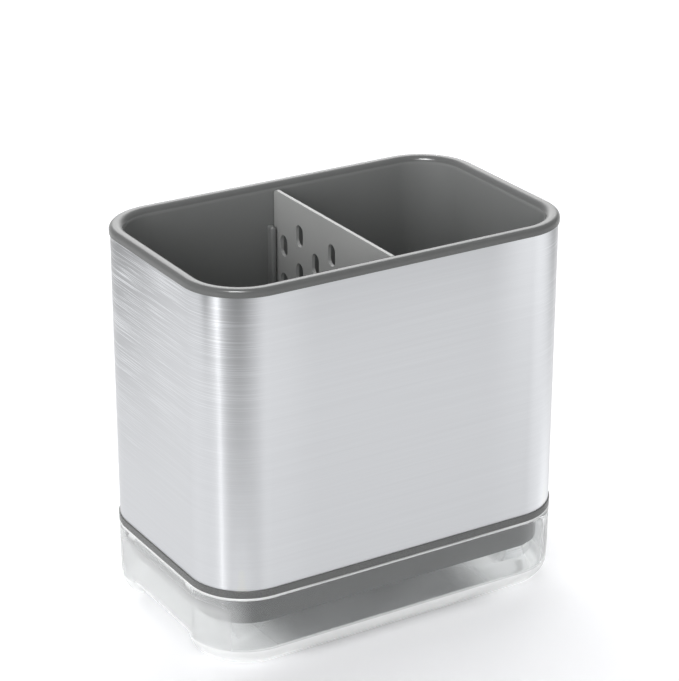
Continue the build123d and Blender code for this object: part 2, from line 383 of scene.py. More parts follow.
class Board:
    """A node tree that is written as expressions."""

    def __init__(self, tree):
        self.tree = tree
        tree.nodes.clear()

    def node(self, kind, settings=None, inputs=None, output=0):
        """Adds any node: its settings first, then the values or links of its sockets. Returns one output."""
        made = self.tree.nodes.new(kind)
        for setting, value in (settings or {}).items():
            if setting == "stops":
                for position, _ in value[1:-1]:
                    made.color_ramp.elements.new(position)
                for element, (position, shade) in zip(made.color_ramp.elements, value):
                    element.position = position
                    element.color = shade
            else:
                setattr(made, setting, value)
        for socket, value in (inputs or {}).items():
            if isinstance(value, Signal):
                self.tree.links.new(value.socket, made.inputs[socket])
            else:
                made.inputs[socket].default_value = value
        return Signal(self, made.outputs[output]) if made.outputs else None

    def mix(self, factor, first, second, blend="MIX"):
        """Mixes two colours."""
        settings = {"data_type": "RGBA", "blend_type": blend}
        return self.node("ShaderNodeMix", settings, {0: factor, 6: first, 7: second}, output=2)

    def stretched(self, source, scale):
        """A pattern's coordinates, scaled along each axis."""
        return self.node("ShaderNodeMapping", {"vector_type": "POINT"}, {"Vector": source, "Scale": scale})

    def noise(self, vector, scale=1.0, detail=2.0, roughness=0.5):
        """Noise from about 0 to 1."""
        inputs = {"Vector": vector, "Scale": scale, "Detail": detail, "Roughness": roughness}
        return self.node("ShaderNodeTexNoise", {"noise_dimensions": "3D"}, inputs)

    def ramp(self, value, low, high):
        """A smooth step from nought at the low value to one at the high value."""
        inputs = {"Value": value, "From Min": low, "From Max": high}
        return self.node("ShaderNodeMapRange", {"interpolation_type": "SMOOTHSTEP"}, inputs)

    def place(self):
        """The point in the object's own coordinates."""
        return self.node("ShaderNodeTexCoord", output="Object")

    def facing(self):
        """The surface's normal in the object's own coordinates."""
        return self.node("ShaderNodeTexCoord", output="Normal")

    def ray(self, kind):
        """1 for rays of that kind, 0 for others."""
        return self.node("ShaderNodeLightPath", output=f"Is {kind} Ray")

    def axes(self, vector):
        """The three parts of a vector."""
        split = self.node("ShaderNodeSeparateXYZ", inputs={0: vector}).socket.node
        return [Signal(self, part) for part in split.outputs]

    def outset(self, place, radius):
        """A place's distance in plan from the rectangle that corners of that radius are centred on."""
        x, y, _ = self.axes(place)
        beyond_x = (x.size() - (sleeve_high.x - radius)).above(0.0)
        beyond_y = (y.size() - (sleeve_high.y - radius)).above(0.0)
        return (beyond_x * beyond_x + beyond_y * beyond_y) ** 0.5

    def grey(self, tone):
        """A grey colour of that tone."""
        return self.node("ShaderNodeCombineColor", inputs={0: tone, 1: tone, 2: tone})

    def toned(self, values, tone):
        """A colour made lighter or darker by a varying tone."""
        return self.mix(1.0, rgba(values), self.grey(tone), "MULTIPLY")

    def bump(self, height, strength, distance):
        """A normal from a height signal."""
        inputs = {"Strength": strength, "Distance": distance, "Height": height}
        return self.node("ShaderNodeBump", inputs=inputs)

    def principled(self, inputs):
        """The general shader, with those inputs."""
        return self.node("ShaderNodeBsdfPrincipled", inputs=inputs)

    def blend(self, factor, first, second):
        """Mixes two shaders."""
        return self.node("ShaderNodeMixShader", inputs={0: factor, 1: first, 2: second})

    def finish(self, surface):
        """Makes a shader the material's surface."""
        self.node("ShaderNodeOutputMaterial", inputs={"Surface": surface})


def rgba(values):
    """A colour with full alpha."""
    return (*values, 1.0)


def scaled(values, factor):
    """A colour made lighter or darker, with full alpha."""
    return (*(min(1.0, value * factor) for value in values), 1.0)


def new_material(name):
    """An empty material with its board."""
    material = bpy.data.materials.new(name)
    material.use_nodes = True
    return material, Board(material.node_tree)


def brushed_steel(sleeve, corner_radius):
    """Horizontally brushed stainless: long fine streaks in tone, gloss and relief, along the sheet's map.

    Painted reflection and shade: the sheet darkens a little towards the rim, most at the back of the short
    sides, where scratches show. Each bend is paler at its foot and darker at its rim, where a painted thin
    bright line stands beside a painted thin dark one. The long sides are paler towards their ends, most at
    the top right, also painted."""
    material, board = new_material("brushed_steel")
    sheet = board.node("ShaderNodeUVMap", {"uv_map": "sheet"})
    x, y, z = board.axes(board.place())
    facing_x, facing_y, _ = board.axes(board.facing())
    rise = (z - sleeve_low.z) / (sleeve_high.z - sleeve_low.z)
    fall = 1 - rise
    side = board.ramp(x.size(), sleeve_high.x - corner_radius, sleeve_high.x - corner_radius / 3)
    back = board.ramp(y, sleeve_low.y + corner_radius, sleeve_high.y - corner_radius / 2)
    end_from, end_to = sleeve_high.x - 1.9 * corner_radius, sleeve_high.x - corner_radius
    ends = board.ramp(x.size(), end_from, end_to)
    right_end = board.ramp(x, end_from, end_to)

    def bend(turn, sharpness):
        """1 where the sheet faces that many degrees from the short side, fading to nought round the bend."""
        turn = math.radians(turn)
        return (facing_x.size() * math.cos(turn) + facing_y.size() * math.sin(turn)) ** sharpness

    def grain(along, across, detail, roughness=0.5):
        """Noise with grains of that length and width on the sheet."""
        return board.noise(board.stretched(sheet, (1 / along, 1 / across, 1.0)), 1.0, detail, roughness)

    fine = grain(sleeve.grain_length, sleeve.grain_width, 3.0, 0.65)
    broad = grain(2 * sleeve.grain_length, 5 * sleeve.grain_width, 2.0)
    cloud = grain(2 * sleeve.grain_length, 1.5 * sleeve.grain_length, 1.0)
    scratch = board.ramp(grain(sleeve.grain_length / 1.5, sleeve.grain_width, 2.0, 0.6), 0.5, 0.64)
    far = side * back * rise * rise
    scratched = side * rise * rise * (0.3 + 0.7 * back)
    streak = fine * 0.5 + broad * 0.5
    contrast = 0.08 + 0.16 * cloud + 0.25 * far
    # Painted reflection and shade: a darker rim and back of the short sides, bends paler at the foot and
    # darker at the rim, paler long-side ends, and thin painted bright and dark lines at the bends' top
    shade = 1.02 - 0.12 * rise ** 6 - 0.38 * far + 0.78 * bend(58, 46) * (0.5 - rise)
    shade += bend(90, 8) * (0.05 * ends + rise ** 3 * (0.08 * ends + 0.18 * right_end) - 0.05 * fall * fall)
    shade += 0.4 * rise ** 7 * (bend(38, 400) - 0.8 * bend(28, 300))
    tone = shade * (1 + (streak - 0.5) * contrast + 1.1 * scratched * (scratch - 0.18))
    gloss = sleeve.roughness - 0.06 + 0.12 * streak
    board.finish(board.principled({
        "Base Color": board.toned(sleeve.steel, tone), "Metallic": 1.0, "Roughness": gloss,
        "Anisotropic": 0.8, "Anisotropic Rotation": 0.25, "Normal": board.bump(streak, 0.12, 0.02 * MM)}))
    return material


def moulded_plastic(name, plastic, roughness, texture_and_painted_light=None, lift=0.0):
    """Moulded grey plastic: a fine spark-eroded grain, slow changes of tone and a soft sheen.

    The mask function gives, from the board and the place, 1 where the plastic has its rough finish, and so
    duller, and paler by the lift, which is painted light."""
    material, board = new_material(name)
    place = board.place()
    grain = board.noise(place, 2600.0, 2.0, 0.6)
    cloud = board.noise(place, 32.0, 3.0, 0.55)
    flow = board.noise(board.stretched(place, (90.0, 90.0, 9.0)))
    tone = 0.9 + 0.1 * cloud + 0.08 * grain + 0.04 * flow
    gloss = roughness - 0.05 + 0.07 * cloud + 0.08 * grain
    if texture_and_painted_light:
        textured_and_painted_light = texture_and_painted_light(board, place)
        # Painted light: the lift makes the marked walls paler, and where the mask fades they stay darker, as
        # painted shade
        tone = tone * (1 + lift * textured_and_painted_light)
        gloss = gloss + 0.2 * textured_and_painted_light
    relief = board.bump(grain * 0.7 + flow * 0.3, 0.2, 0.02 * MM)
    board.finish(board.principled({
        "Base Color": board.toned(plastic, tone), "Roughness": gloss, "IOR": 1.5, "Normal": relief}))
    return material


def clear_plastic(tray, radius):
    """Clear moulded plastic with faint flow lines and a trace of haze.

    Painted light: milky scatter is laid on the short sides, at the ends of the floor and in the rounded foot,
    and most at the lip and the nubs, with a painted glow in the foot and at the floor's ends. Shadow rays
    pass, fewer at the foot."""
    material, board = new_material("clear_plastic")
    place = board.place()
    x, _, height = board.axes(place)
    facing_side, _, facing_up = board.axes(board.facing())
    soft = tray.lip_round
    flow = board.noise(board.stretched(place, (24.0, 24.0, 60.0)), 1.0, 3.0)
    specks = board.noise(place, 300.0, 3.0, 0.6)
    plastic = board.principled({
        "Base Color": rgba(tray.clear), "Roughness": 0.02 + 0.03 * specks, "IOR": 1.49,
        "Transmission Weight": 1.0, "Normal": board.bump(flow, 0.15, 0.4 * MM)})

    # Where the painted light and glow go, each from nought to one
    lip = board.ramp(height, tray_high.z - 1.5 * soft, tray_high.z - soft)
    band_height, band_reach = 8.3 * MM, 6.5 * MM
    band_top = tray_low.z + band_height
    band_edge = radius + tray_high.x - sleeve_high.x - band_reach
    foot = board.ramp(board.outset(place, radius), band_edge - soft, band_edge)
    foot = foot * board.ramp(height, band_top + soft, band_top - soft)
    side = board.ramp(facing_side.size(), 0.32, 0.9)
    milky_from, milky_full = 10 * MM, 5 * MM
    below = board.ramp(height, liner_low.z + milky_from, liner_low.z + milky_full)
    level = board.ramp(facing_up.size(), 0.3, 0.8)
    end_from, end_to = tray_high.x - 2.9 * tray.grip_depth, tray_high.x - 1.2 * tray.grip_depth
    end = level * board.ramp(x.size(), end_from, end_to)
    nub_fade = 1 * MM
    nub = level * board.ramp(height, liner_low.z, liner_low.z + nub_fade)

    # The share of milky scatter at each, which is painted light, and the painted glow of the foot and the
    # floor's ends
    side_painted_light = 0.25
    end_painted_light = 0.4
    foot_painted_light = 0.65
    lip_painted_highlight = 0.8
    foot_painted_glow = 0.18
    end_painted_glow = 0.37
    # Painted light: beyond the faint real haze, milky scatter is added on the short sides, the floor's ends,
    # the foot, the lip and the nubs
    haze = tray.haze * (0.7 + 0.6 * flow) + side * (side_painted_light + (end_painted_light - side_painted_light) * below)
    haze = haze.above(end_painted_light * end).above(foot_painted_light * foot).above(lip_painted_highlight * lip.above(nub))
    # Painted glow: the foot and the floor's ends give off light, though the tray is no lamp
    glow = (foot_painted_glow * foot * board.ramp(height, tray_low.z, band_top)).above(end_painted_glow * end)
    # The milky layer, lit by the lamps, carries the painted glow as its emission
    milk = board.principled({
        "Base Color": rgba(tray.milk), "Roughness": 0.2, "Emission Color": board.grey(glow),
        "Emission Strength": 1.0})

    # The share of a shadow ray that each face lets pass
    through_wall = 0.75
    through_foot = 0.6
    straight = board.node("ShaderNodeBsdfTransparent", inputs={0: scaled(tray.clear, through_wall)})
    turned = board.node("ShaderNodeBsdfTransparent", inputs={0: scaled(tray.clear, through_foot)})
    passing = board.blend(foot, straight, turned)
    board.finish(board.blend(board.ray("Shadow"), board.blend(haze, plastic, milk), passing))
    return material


def soft_clear_pad(tray):
    """Soft clear pad: frosted, faintly dusty on its rubbing face."""
    material, board = new_material("soft_pads")
    grain = board.noise(board.place(), 1800.0, 3.0, 0.6)
    dust = board.noise(board.place(), 140.0, 4.0, 0.6)
    board.finish(board.principled({
        "Base Color": board.mix(dust * 0.5, rgba(tray.pad), scaled(tray.pad, 0.9)),
        "Roughness": 0.3 + 0.15 * grain, "IOR": 1.42, "Transmission Weight": 0.85,
        "Normal": board.bump(grain, 0.3, 0.05 * MM)}))
    return material


# Pieces

class CADDY_OT_add_steel_sleeve(bpy.types.Operator):
    """Adds the brushed steel sleeve: one thin sheet round the outline, with its joint at the back"""
    bl_idname = "caddy.add_steel_sleeve"
    bl_label = "Add Steel Sleeve"

    def execute(self, context):
        scene = context.scene
        sleeve = scene.caddy_sleeve
        radius = scene.caddy_outline.corner_radius
        half_seam = sleeve.seam_gap / 2
        along_x = side_lines(scene, half_seam)
        base, normal = caddy_path(scene, along_x, side_lines(scene))
        # The strip starts on the far side of the joint, at the back, and comes round to its near side.
        start = np.argmin(np.abs(base - (-half_seam + 1j * base.imag.max())) + 10 * (normal.imag < 0.99))
        base = np.roll(base, -start)
        normal = np.roll(normal, -start)
        height = np.linspace(sleeve_low.z, sleeve_high.z, 25)
        outer = carry(base, normal, radius, height)
        inner = carry(base, normal, radius - sleeve.thickness, height)
        keep = np.ones((len(base) - 1, len(height) - 1), dtype=bool)
        points, faces = pierced_shell(outer, inner, keep)
        edge = base + radius * normal
        travelled = np.concatenate([[0.0], np.cumsum(np.abs(np.diff(edge)))])
        plan_length = np.tile(np.repeat(travelled, len(height)), 2)
        material = brushed_steel(sleeve, radius)
        add_piece("brushed_sleeve", points, faces, material, "holder", ["steel_sleeve"],
                  plan_length)
        return {"FINISHED"}


class CADDY_OT_add_liner(bpy.types.Operator):
    """Adds the moulded liner: capping rim, drafted walls, guide ribs, drain floor and drip edge"""
    bl_idname = "caddy.add_liner"
    bl_label = "Add Liner"

    def wall_profile(self, scene):
        """Closed section of the wall: up outside, over the rounded rim and down inside to the floor."""
        liner = scene.caddy_liner
        top = liner_high.z
        rim_out = side_outset(scene, liner_high)
        floor_bottom = liner_low.z + liner.drip_edge

        def drafted(first, last, steps, wall=0.0):
            """Points up or down the inner wall, or the outer wall where its thickness is given."""
            levels = np.linspace(first, last, steps)
            return wall_outset(scene, levels) + wall + 1j * levels

        outer, inner = liner.outer_round, liner.inner_round
        low, turn = liner.foot_round, liner.floor_round
        foot_out = wall_outset(scene, liner_low.z) + liner.wall
        foot = arc(foot_out - low, liner_low.z + low, low, -90, 0, 4)
        under_rim = top - liner.rim_height
        outer_wall = drafted(liner_low.z + low, under_rim, 8, liner.wall)[1:]
        outer_edge = arc(rim_out - outer, top - outer, outer, 0, 90, 10)
        inner_edge = arc(wall_outset(scene, top) + inner, top - inner, inner, 90, 180, 8)
        last = floor_bottom + liner.floor + turn
        inner_wall = drafted(top - inner, last, 12)[1:-1]
        floor_round = arc(wall_outset(scene, last) - turn, last, turn, 0, -90, 8)
        drip_in = foot_out - liner.wall
        ledge = floor_round[-1].real
        close = [ledge + 1j * floor_bottom, drip_in + 1j * floor_bottom, drip_in + 1j * liner_low.z]
        return np.concatenate([foot, outer_wall, [rim_out + 1j * under_rim], outer_edge, inner_edge,
                               inner_wall, floor_round, close])

    def drain_floor(self, scene, ledge):
        """Plate up to the round-cornered ledge: x as given, y a share of the outline's half depth there.

        Inside the slotted field the rows stay level. Outside it they close up with the corners."""
        liner = scene.caddy_liner
        reach_x = sleeve_high.x - scene.caddy_outline.corner_radius
        reach_y = sleeve_high.y - scene.caddy_outline.corner_radius
        floor_bottom = liner_low.z + liner.drip_edge
        bay_middle = (reach_x + wall_outset(scene, liner_high.z)) / 2

        def spread(steps, pitch):
            """Places at a pitch, with their middle at nought."""
            return (np.arange(steps) - (steps - 1) / 2) * pitch

        rows = spread(liner.slot_rows, liner.slot_pitch_y)
        stagger = np.where(np.arange(liner.slot_rows) % 2, 1, -1) * liner.slot_pitch_x / 4
        steps = spread(liner.slot_columns, liner.slot_pitch_x)
        columns = np.concatenate([steps - bay_middle, steps + bay_middle])
        centres = (columns[None, :] + stagger[:, None]).ravel()
        half_slot = liner.slot_length / 2
        spots = np.concatenate([centres - half_slot, centres + half_slot])
        plain_strip = 0.5 * MM
        field_x = spots.max() + plain_strip
        end_x = reach_x + ledge
        fringe = end_x - (end_x - field_x) * (1 - np.sin(np.linspace(0, math.pi / 2, 9)))
        x = np.unique(np.round(np.concatenate([spots, fringe, -fringe]), 7))
        bands = np.sort(np.concatenate([rows - liner.slot_width / 2, rows + liner.slot_width / 2]))
        past = np.maximum(np.abs(x) - reach_x, 0)
        half = reach_y + np.sqrt(np.maximum(ledge ** 2 - past ** 2, 0))
        squeeze = np.minimum(half / np.interp(field_x, x, half), 1.0)
        y = np.concatenate([-half[:, None], bands[None, :] * squeeze[:, None], half[:, None]], axis=1)
        bottom = np.stack([np.broadcast_to(x[:, None], y.shape), y, np.full(y.shape, floor_bottom)], axis=-1)
        top = bottom + np.array([0, 0, liner.floor])
        cell_x = (x[1:] + x[:-1]) / 2
        lines = np.concatenate([[-1.0], bands, [1.0]])
        cell_y = (lines[1:] + lines[:-1]) / 2
        keep = np.ones((len(cell_x), len(cell_y)), dtype=bool)
        for row, shift in zip(rows, stagger):
            near_row = np.abs(cell_y - row) < liner.slot_width / 2
            near_slot = (np.abs(cell_x[:, None] - columns - shift) < half_slot).any(axis=1)
            keep &= ~(near_slot[:, None] & near_row[None, :])
        return pierced_shell(top, bottom, keep)

    def guide_rib(self, scene, x, side):
        """Upright rib: a round-nosed section swept up the drafted wall, drawn in to a dome at its top."""
        liner = scene.caddy_liner
        top = liner_high.z - liner.rib_drop
        sunk = 0.6 * MM
        foot = liner_low.z + liner.drip_edge + liner.floor - sunk
        half = liner.rib_width / 2
        nose = 0.75 * half
        reach = liner.rib_reach
        left_round = arc(-half + nose, reach - nose, nose, 180, 90, 6)
        right_round = arc(half - nose, reach - nose, nose, 90, 0, 6)
        section = np.concatenate([[-half - 1j * sunk], left_round, right_round, [half - 1j * sunk]])
        dome = np.radians(np.linspace(0, 90, 7))
        upright = np.linspace(foot, top - half, 6)[:-1]
        # The first height stands twice, first with its section drawn in to a point that closes the foot.
        height = np.concatenate([[foot], upright, top - half + half * np.sin(dome)])
        size = np.concatenate([[0.0], np.ones(len(upright)), np.cos(dome)])
        middle = 1j * (reach - sunk) / 2
        shape = middle + (section[:, None] - middle) * size[None, :]
        wall = sleeve_high.y - scene.caddy_outline.corner_radius + wall_outset(scene, height)
        y = side * (wall[None, :] - shape.imag)
        points = np.stack([x + shape.real, y, np.broadcast_to(height, shape.shape)], axis=-1)
        faces = grid_faces(len(section), len(height), closed_rows=True)
        return points, faces if side > 0 else faces[:, ::-1]

    def execute(self, context):
        scene = context.scene
        liner = scene.caddy_liner
        divider = scene.caddy_divider
        base, normal = caddy_path(scene, side_lines(scene), side_lines(scene))
        profile = self.wall_profile(scene)
        wall = carry(base, normal, profile.real, profile.imag)
        parts = [(wall, grid_faces(len(base), len(profile), closed_rows=True, closed_columns=True))]
        ledge = profile[-3].real
        parts.append(self.drain_floor(scene, ledge))
        step = divider.thickness / 2 + liner.channel_fit + liner.rib_width / 2
        for x in (-divider.offset - step, -divider.offset + step):
            for side in (-1, 1):
                parts.append(self.guide_rib(scene, x, side))
        points, faces = joined(parts)

        def texture_and_painted_light(board, place):
            """1 at the top of the walls inside the rim, fading deep in the bays, 0 on the smooth rim. The
            paleness it brings is painted light near the rim, and its fade is painted shade deep in the bays.
            """
            shallow, deep = 12 * MM, 80 * MM
            edge = wall_outset(scene, liner_high.z)
            outset = board.outset(place, scene.caddy_outline.corner_radius)
            walls = board.ramp(outset, edge + liner.inner_round / 5, edge)
            return walls * board.ramp(board.axes(place)[2], liner_high.z - deep, liner_high.z - shallow)

        # The lift of 0.8 is painted light on the inner walls, fading to painted shade deep in the bays
        material = moulded_plastic("liner_plastic", liner.plastic, 0.15, texture_and_painted_light, lift=0.8)
        add_piece("moulded_liner", points, faces, material, "holder", ["liner_tub"])
        return {"FINISHED"}


class CADDY_OT_add_base_ring(bpy.types.Operator):
    """Adds the base ring: the band under the sleeve and the collar inside it, with its snap windows"""
    bl_idname = "caddy.add_base_ring"
    bl_label = "Add Base Ring"

    def execute(self, context):
        scene = context.scene
        ring = scene.caddy_ring
        liner = scene.caddy_liner
        radius = scene.caddy_outline.corner_radius
        out = side_outset(scene, ring_high)
        low, high = ring_low.z, ring_low.z + ring.band
        inside = wall_outset(scene, high) + liner.wall + ring.liner_fit
        lower = arc(out - ring.edge_round, low + ring.edge_round, ring.edge_round, -90, 0, 6)
        upper = arc(out - ring.top_round, high - ring.top_round, ring.top_round, 0, 90, 3)
        band = np.concatenate([lower, upper, [inside + 1j * high, inside + 1j * low]])
        half_window = ring.window_width / 2
        middle_x = ring.window_spacing / 2
        along_x = side_lines(scene, middle_x - half_window, middle_x + half_window)
        base, normal = caddy_path(scene, along_x, side_lines(scene, half_window))
        parts = [(carry(base, normal, band.real, band.imag),
                  grid_faces(len(base), len(band), closed_rows=True, closed_columns=True))]
        collar_out = radius - scene.caddy_sleeve.thickness - ring.collar_fit
        sill = high + ring.window_raise
        height = np.array([high, sill, sill + ring.window_height, ring_high.z])
        outer = carry(base, normal, collar_out, height)
        inner = carry(base, normal, collar_out - ring.collar_wall, height)
        straight = np.isclose(normal, np.roll(normal, -1))
        middle = (base + np.roll(base, -1)) / 2
        long_side = np.abs(normal.imag) > 0.99
        in_long = long_side & (np.abs(np.abs(middle.real) - middle_x) < half_window)
        in_short = ~long_side & (np.abs(middle.imag) < half_window)
        keep = np.ones((len(base), 3), dtype=bool)
        keep[:, 1] = ~(straight & (in_long | in_short))
        parts.append(pierced_shell(outer, inner, keep, closed=True))
        points, faces = joined(parts)
        material = moulded_plastic("ring_plastic", liner.plastic, 0.25)
        add_piece("moulded_base_ring", points, faces, material, "holder", ["base_ring"])
        return {"FINISHED"}


class CADDY_OT_add_divider(bpy.types.Operator):
    """Adds the perforated divider, with round-ended slots and softened edges"""
    bl_idname = "caddy.add_divider"
    bl_label = "Add Divider"

    def slotted_cell(self, divider, steps_y, steps_z):
        """One cell with its slot: rings of points blended from the slot's outline to the cell's border."""
        half_y, half_z = divider.pitch_y / 2, divider.pitch_z / 2
        side = np.linspace(-half_z, half_z, 2 * steps_z + 1)[:-1]
        end = np.linspace(-half_y, half_y, steps_y + 1)[:-1]
        flank, head = half_y + 1j * side, -end + 1j * half_z
        border = np.concatenate([flank, head, -flank, -head])
        steps = len(border)
        nose = divider.slot_width / 2
        straight = divider.slot_length / 2 - nose
        spread = steps_y + 2 * (steps_z - 2)
        cap = nose * np.exp(1j * np.pi * np.arange(spread + 1) / spread) + 1j * straight
        run = np.linspace(straight, -straight, steps // 2 - spread + 1)[1:-1]
        outline = np.concatenate([cap, -nose + 1j * run, -cap, nose - 1j * run])
        # The outline starts at the place that twists the rings least.
        twists = [np.abs(np.roll(outline, turn) - border).sum() for turn in range(steps)]
        outline = np.roll(outline, int(np.argmin(twists)))
        blend = np.array([0.0, 0.25, 0.6, 1.0])
        return outline[:, None] * (1 - blend) + border[:, None] * blend

    def panel(self, scene):
        """The panel's middle plane: a lattice of slotted and plain cells, and strips round it."""
        divider = scene.caddy_divider
        steps = 6
        half_pitch = divider.pitch_z / 2
        step_y = divider.pitch_y
        top, foot = divider_high.z, divider_low.z
        parts = []

        def lay(grid, closed=False):
            """Adds a grid of points, as y + i * height, whose faces all look the same way."""
            points = np.stack([np.full(grid.shape, -divider.offset), grid.real, grid.imag], axis=-1)
            parts.append((points, grid_faces(*grid.shape, closed_rows=closed)[:, ::-1]))

        top_line = top - (divider.first_drop + divider.slot_length / 2 - half_pitch)
        rows = int((top_line - foot) / half_pitch)
        levels = top_line - half_pitch * np.arange(rows + 1)
        cell = self.slotted_cell(divider, steps, steps)
        columns = np.arange(divider.columns) - (divider.columns - 1) // 2
        taken = np.zeros((divider.columns, rows), dtype=bool)
        for order, column in enumerate(columns):
            for upper in range(column % 2, column % 2 + 2 * divider.rows, 2):
                centre = top_line - half_pitch * (upper + 1)
                if upper + 2 <= rows and centre > foot + 1.5 * divider.slot_length:
                    taken[order, upper:upper + 2] = True
                    lay(cell + column * step_y + 1j * centre, closed=True)
        plain_y = np.linspace(-step_y / 2, step_y / 2, steps + 1)
        plain = plain_y[:, None] - 1j * np.linspace(0, half_pitch, steps + 1)[None, :]
        for order, row in zip(*np.nonzero(~taken)):
            lay(plain + columns[order] * step_y + 1j * levels[row])
        field = divider.columns * step_y / 2
        field_y = np.unique(np.round(np.concatenate([plain_y + column * step_y for column in columns]), 9))
        corner = divider.corner_round
        cap_z = top - corner + corner * np.sin(np.radians(np.linspace(0, 90, 7)))
        head_z = np.concatenate([np.linspace(top_line, cap_z[0], 4)[:-1], cap_z])[::-1]
        foot_z = np.linspace(levels[-1], foot, 8)
        body_z = (levels[:-1, None] - half_pitch * np.arange(steps) / steps).ravel()
        side_z = np.concatenate([head_z, body_z[1:], foot_z])
        margin = np.linspace(field, divider_high.y, 3)
        strips = [(field_y, head_z), (field_y, foot_z), (margin, side_z), (-margin[::-1], side_z)]
        for strip_y, strip_z in strips:
            lay(strip_y[:, None] + 1j * strip_z[None, :])
        return joined(parts)

    def execute(self, context):
        scene = context.scene
        divider = scene.caddy_divider
        points, faces = self.panel(scene)
        # The panel narrows with the walls' draft. Its top corners are rounded, its foot corners cut off.
        corner, foot_corner = divider.corner_round, divider.foot_corner
        _, y, z = points.T
        rise = np.clip((z - divider_high.z) / corner + 1, 0, 1)
        fall = np.clip(1 - (z - divider_low.z) / foot_corner, 0, 1)
        cut = corner * (1 - np.sqrt(1 - rise ** 2)) + foot_corner * fall
        narrowed = (divider_high.z - z) * math.tan(scene.caddy_outline.draft) + cut
        points[:, 1] = y * (1 - narrowed / divider_high.y)
        material = moulded_plastic("divider_plastic", divider.plastic, 0.3)
        piece = add_piece("perforated_divider", points, faces, material, "divider", ["divider_panel"])
        wall = piece.modifiers.new("Panel Thickness", "SOLIDIFY")
        wall.thickness = divider.thickness
        wall.offset = 0.0
        wall.use_even_offset = True
        soften = piece.modifiers.new("Softened Edges", "BEVEL")
        soften.width = divider.edge_round
        soften.segments = 2
        soften.limit_method = "ANGLE"
        soften.angle_limit = math.radians(50)
        soften.harden_normals = True
        return {"FINISHED"}


class CADDY_OT_add_drip_tray(bpy.types.Operator):
    """Adds the clear drip tray: rounded foot, finger recesses at the short sides and locating nubs"""
    bl_idname = "caddy.add_drip_tray"
    bl_label = "Add Drip Tray"

    def skin(self, scene, base, normal, inset, nub_reach):
        """One face of the tray, as a grid from the lip to the middle of the floor, with nubs of that reach.

        The wall leans in by the draft, turns through the bottom round and runs in along the floor. At the
        short sides the floor rises by grip height * length share * depth share, so the wall ends higher."""
        tray = scene.caddy_tray
        out = side_outset(scene, tray_high) - inset
        short_side = np.abs(normal.real) > 0.999
        from_middle = np.abs(base.imag)
        reach = tray.grip_half_length + inset
        share_along = eased(soft_step(reach - from_middle, tray.grip_length_ramp) * short_side)
        lift = tray.grip_height * share_along
        plain_round = tray.bottom_round - inset
        grip_round = tray.grip_edge_round - 0.6 * inset
        bend = (plain_round + (grip_round - plain_round) * share_along)[:, None]
        floor = tray_low.z + inset
        level = (floor + lift)[:, None]
        top = tray_high.z - tray.lip_round
        wall_z = top + (level + bend - top) * np.linspace(0, 1, 12)
        height = tray_high.z - tray.nub_drop
        edge = tray.nub_edge
        past_end = np.abs(from_middle - tray.nub_spacing / 2) - tray.nub_length / 2
        nub = soft_step(height - wall_z, edge) * soft_step(wall_z - height + tray.nub_height, edge)
        nub *= (soft_step(-past_end, edge) * short_side)[:, None]
        wall_out = out - (tray_high.z - wall_z) * math.tan(tray.draft) - nub_reach * nub
        turn = np.radians(np.linspace(0, 90, 13))[1:]
        bend_out = wall_out[:, -1:] - bend * (1 - np.cos(turn))
        bend_z = level + bend - bend * np.sin(turn)
        start = bend_out[:, -1:]
        flat_end = out - tray.grip_depth - inset + tray.grip_depth_ramp
        flat_out = start + (flat_end - start) * np.linspace(0, 1, 5)[1:]
        flat_z = level + 0 * flat_out
        ramp_in = np.linspace(0, 1, 9)[1:]
        slope_out = flat_end - tray.grip_depth_ramp * ramp_in + 0 * start
        slope_z = floor + lift[:, None] * (1 - eased(ramp_in))
        rest_out = slope_out[:, -1:] * np.array([0.5, 0.0])
        rest_z = np.full(rest_out.shape, floor)
        outset = np.concatenate([wall_out, bend_out, flat_out, slope_out, rest_out], axis=1)
        height = np.concatenate([wall_z, bend_z, flat_z, slope_z, rest_z], axis=1)
        grids = [carry(base, normal, outset, height)]
        for shrink in (0.75, 0.5, 0.25, 0.0):
            grids.append(carry(base, normal, 0, floor, shrink))
        return np.concatenate(grids, axis=1)

    def execute(self, context):
        scene = context.scene
        tray = scene.caddy_tray
        nub_ends = tray.nub_spacing / 2 + tray.nub_length / 2 * np.array([-1, -1, 1, 1])
        nub_lines = nub_ends + tray.nub_edge / 2 * np.array([-1, 1, -1, 1])
        grip_lines = tray.grip_half_length + tray.grip_length_ramp * np.linspace(-0.5, 0.5, 9)
        base, normal = caddy_path(scene, side_lines(scene), side_lines(scene, *nub_lines, *grip_lines))
        outer = self.skin(scene, base, normal, 0.0, 0.0)
        inner = self.skin(scene, base, normal, tray.wall, tray.nub_reach)
        # The lip joins the two skins with a half round.
        lip = tray.lip_round
        out = side_outset(scene, tray_high)
        outer_round = arc(out - lip, tray_high.z - lip, lip, 90, 0, 5)[:-1]
        inner_round = arc(out - tray.wall + lip, tray_high.z - lip, lip, 180, 90, 5)[1:]
        rim = np.concatenate([inner_round, outer_round])
        lip_points = carry(base, normal, rim.real, rim.imag)
        section = np.concatenate([inner[:, ::-1], lip_points, outer], axis=1)[:, ::-1]
        faces = grid_faces(*section.shape[:2], closed_rows=True)
        material = clear_plastic(tray, scene.caddy_outline.corner_radius)
        add_piece("clear_tray", section.reshape(-1, 3), faces, material, "tray", ["drip_tray"],
                  sharp=60.0)
        return {"FINISHED"}


class CADDY_OT_finish_pads(bpy.types.Operator):
    """Gives the four pads under the tray their soft clear material"""
    bl_idname = "caddy.finish_pads"
    bl_label = "Finish Pads"

    def execute(self, context):
        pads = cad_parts["tray_feet"]
        pads.data.materials.clear()
        pads.data.materials.append(soft_clear_pad(context.scene.caddy_tray))
        return {"FINISHED"}


